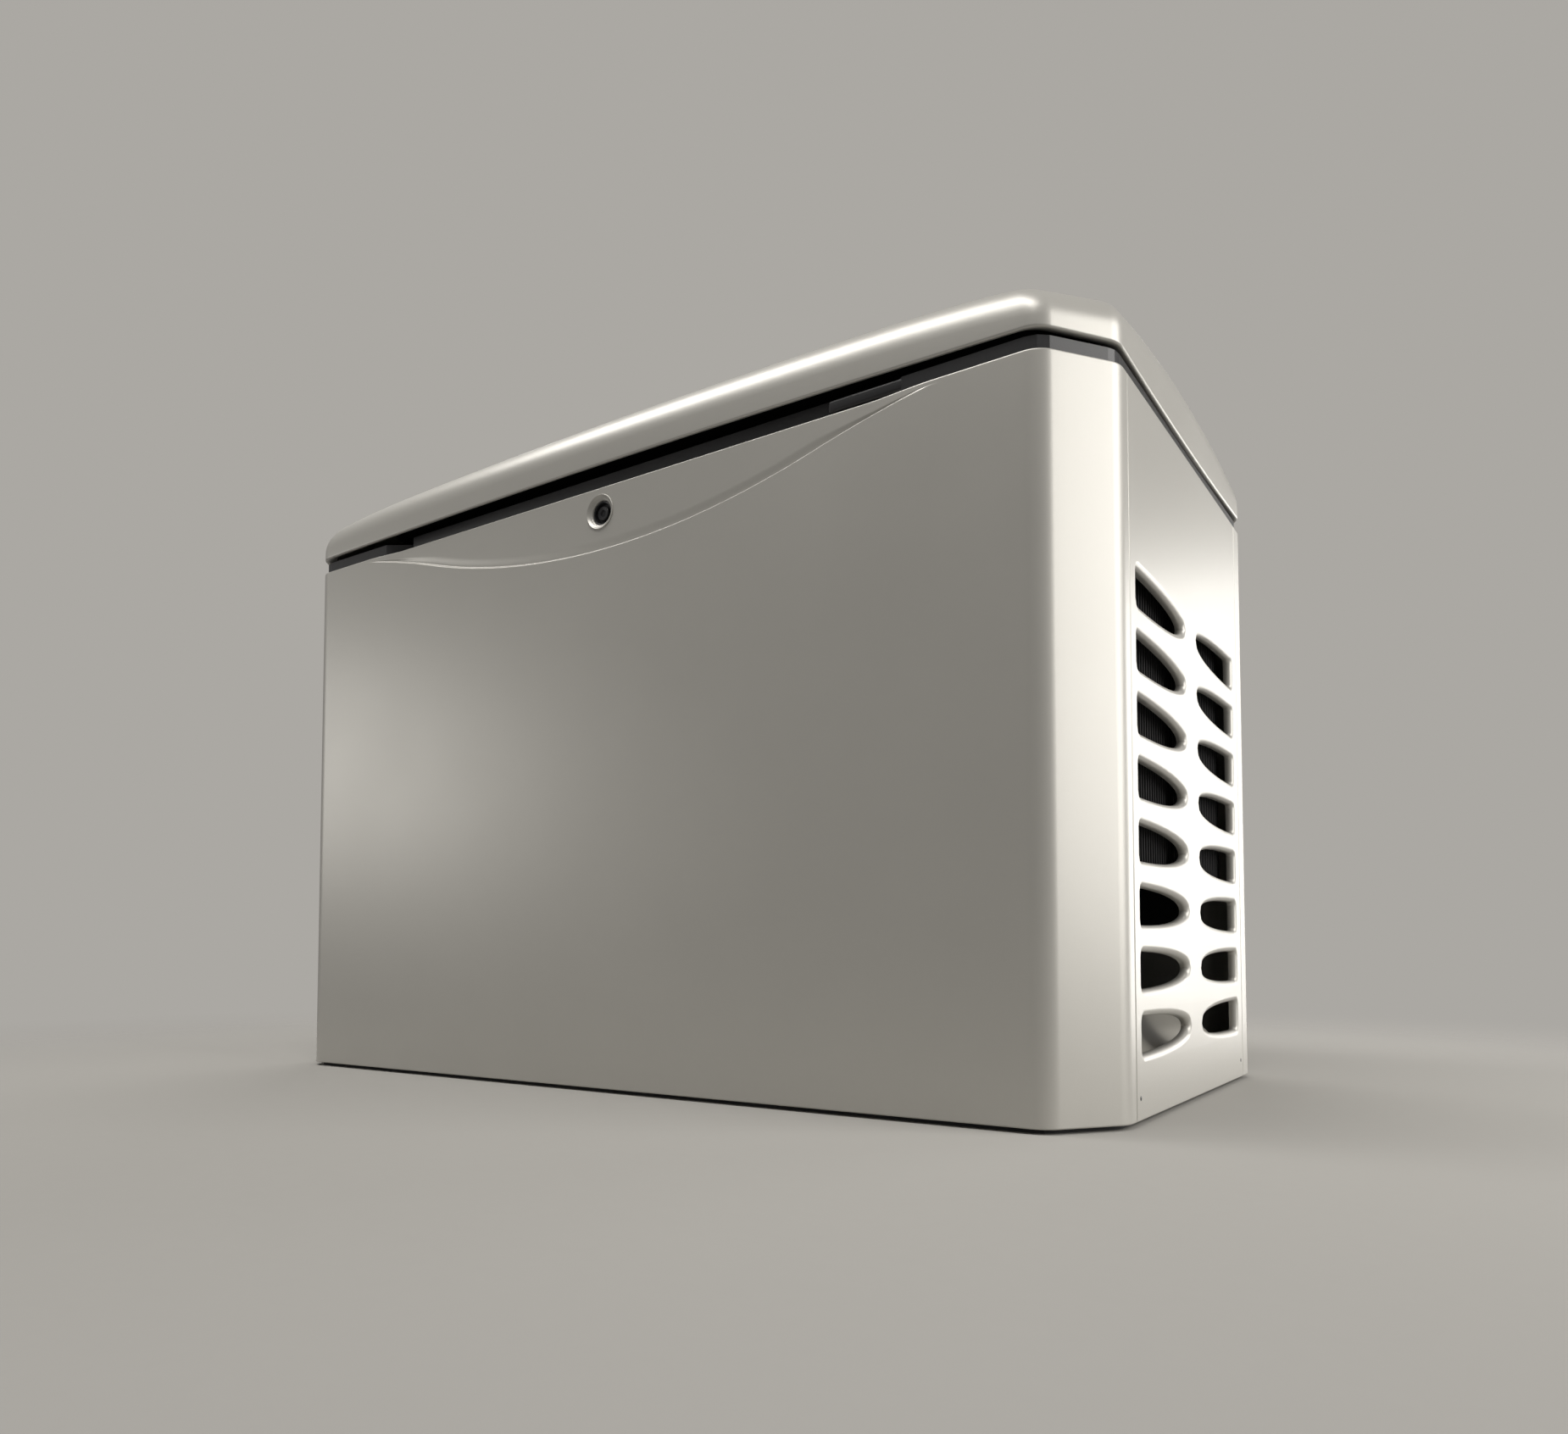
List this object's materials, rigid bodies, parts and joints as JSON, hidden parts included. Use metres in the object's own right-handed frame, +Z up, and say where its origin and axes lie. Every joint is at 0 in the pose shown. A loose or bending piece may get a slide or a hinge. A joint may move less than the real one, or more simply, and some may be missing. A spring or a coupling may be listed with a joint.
{
  "type": "home standby generator",
  "caption": "Home standby generator: vented painted cabinet with a hinged roof and pull-off front, round a twin-cylinder gas engine and alternator.",
  "frame": {"origin": "middle of the cabinet's underside, on the ground", "axes": "+Z up, the front faces -Y, +X to the right of a viewer facing the front"},
  "size_m": [1.216, 0.689, 0.8396],
  "materials": {
    "cabinet_paint": "satin fine-grain champagne paint",
    "black_plastic": "fine moulded texture",
    "dark_foam": "matt dark lining",
    "pad_composite": "matt composite",
    "base_composite": "satin moulded composite",
    "cast_aluminium": "as cast",
    "black_steel": "satin black",
    "bright_steel": "turned",
    "stainless_pipe": "heat-tinted",
    "rubber": "matt",
    "white_filter": "gloss white",
    "grey_enamel": "satin enamel",
    "ceramic": "glazed",
    "button_caps": "soft matt",
    "copper_windings": "lacquered"
  },
  "bodies": {
    "cabinet": {"air_cleaner_base": "black_plastic", "air_cleaner_cover": "black_plastic", "alternator_end_cover": "cast_aluminium", "alternator_stator": "grey_enamel", "base_pan": "base_composite", "battery": "black_plastic", "conduit_hub": "bright_steel", "controller_box": "black_plastic", "crankcase": "cast_aluminium", "cylinder_front": "cast_aluminium", "cylinder_head_front": "cast_aluminium", "cylinder_head_rear": "cast_aluminium", "cylinder_rear": "cast_aluminium", "exhaust_baffle": "dark_foam", "exhaust_pipe_front": "stainless_pipe", "exhaust_pipe_rear": "stainless_pipe", "fan_shroud": "black_plastic", "fuel_hose": "rubber", "fuel_inlet": "bright_steel", "fuel_mixer": "cast_aluminium", "fuel_regulator": "cast_aluminium", "hinge_base_leaf": "black_steel", "hinge_pin": "bright_steel", "intake_baffle": "dark_foam", "intake_manifold": "cast_aluminium", "isolator_left_front": "rubber", "isolator_left_rear": "rubber", "isolator_right_front": "rubber", "isolator_right_rear": "rubber", "left_side_panel": "cabinet_paint", "mounting_pad": "pad_composite", "muffler": "stainless_pipe", "oil_filter": "white_filter", "rear_panel": "cabinet_paint", "right_side_panel": "cabinet_paint", "spark_plug_front": "ceramic", "spark_plug_rear": "ceramic", "starter_motor": "black_steel", "top_rim": "black_plastic", "valve_cover_front": "black_steel", "valve_cover_rear": "black_steel"},
    "front_cover": {"front_panel": "cabinet_paint", "lock_bezel": "cabinet_paint"},
    "lock_core": {"lock_plug": "black_plastic", "lock_cam": "bright_steel"},
    "roof": {"lid": "cabinet_paint", "hinge_lid_leaf": "black_steel"},
    "crank_train": {"crankshaft": "bright_steel", "flywheel": "cast_aluminium", "cooling_fan": "black_plastic", "alternator_rotor": "copper_windings"},
    "strut_left_body": {"strut_cylinder_left": "black_steel"},
    "strut_left_rod": {"strut_rod_left": "bright_steel"},
    "strut_right_body": {"strut_cylinder_right": "black_steel"},
    "strut_right_rod": {"strut_rod_right": "bright_steel"},
    "off_button": {"button_off": "button_caps"},
    "auto_button": {"button_auto": "button_caps"},
    "run_button": {"button_run": "button_caps"},
    "breaker_lever": {"breaker_toggle": "black_plastic"},
    "oil_cap": {"oil_fill_cap": "black_plastic"}
  },
  "joints": [
    {"name": "roof_hinge", "type": "hinge", "parent": "cabinet", "child": "roof", "pos_m": [0, 0.3275, 0.7365], "axis": [-1, 0, 0], "range_deg": [0, 75]},
    {"name": "front_panel_pull", "type": "slide", "parent": "cabinet", "child": "front_cover", "axis": [0, -1, 0], "range_m": [0, 0.3]},
    {"name": "lock_turn", "type": "hinge", "parent": "front_cover", "child": "lock_core", "pos_m": [0, -0.328, 0.695], "axis": [0, -1, 0], "range_deg": [0, 90]},
    {"name": "crank_spin", "type": "hinge", "parent": "cabinet", "child": "crank_train", "pos_m": [0, 0.03, 0.27], "axis": [1, 0, 0], "continuous": true},
    {"name": "strut_left_swing", "type": "hinge", "parent": "cabinet", "child": "strut_left_body", "pos_m": [-0.472, 0.125, 0.5], "axis": [-1, 0, 0], "range_deg": [0, 17.71]},
    {"name": "strut_left_slide", "type": "slide", "parent": "strut_left_body", "child": "strut_left_rod", "axis": [0, 0.1445, 0.9895], "range_m": [0, 0.17177]},
    {"name": "strut_right_swing", "type": "hinge", "parent": "cabinet", "child": "strut_right_body", "pos_m": [0.472, 0.125, 0.5], "axis": [-1, 0, 0], "range_deg": [0, 17.71]},
    {"name": "strut_right_slide", "type": "slide", "parent": "strut_right_body", "child": "strut_right_rod", "axis": [0, 0.1445, 0.9895], "range_m": [0, 0.17177]},
    {"name": "off_button_press", "type": "slide", "parent": "cabinet", "child": "off_button", "axis": [0, 1, 0], "range_m": [0, 0.002], "stiffness_N_per_m": 400},
    {"name": "auto_button_press", "type": "slide", "parent": "cabinet", "child": "auto_button", "axis": [0, 1, 0], "range_m": [0, 0.002], "stiffness_N_per_m": 400},
    {"name": "run_button_press", "type": "slide", "parent": "cabinet", "child": "run_button", "axis": [0, 1, 0], "range_m": [0, 0.002], "stiffness_N_per_m": 400},
    {"name": "breaker_switch", "type": "hinge", "parent": "cabinet", "child": "breaker_lever", "pos_m": [0.395, -0.283, 0.56], "axis": [1, 0, 0], "range_deg": [0, 40]},
    {"name": "oil_cap_lift", "type": "slide", "parent": "cabinet", "child": "oil_cap", "axis": [0, 0, 1], "range_m": [0, 0.1]}
  ],
  "couplings": [
    {"joint": "strut_left_swing", "follows": "roof_hinge", "ratio": 0.23596},
    {"joint": "strut_left_slide", "follows": "roof_hinge", "m_per_rad": 0.13115},
    {"joint": "strut_right_swing", "follows": "roof_hinge", "ratio": 0.23596},
    {"joint": "strut_right_slide", "follows": "roof_hinge", "m_per_rad": 0.13115}
  ]
}
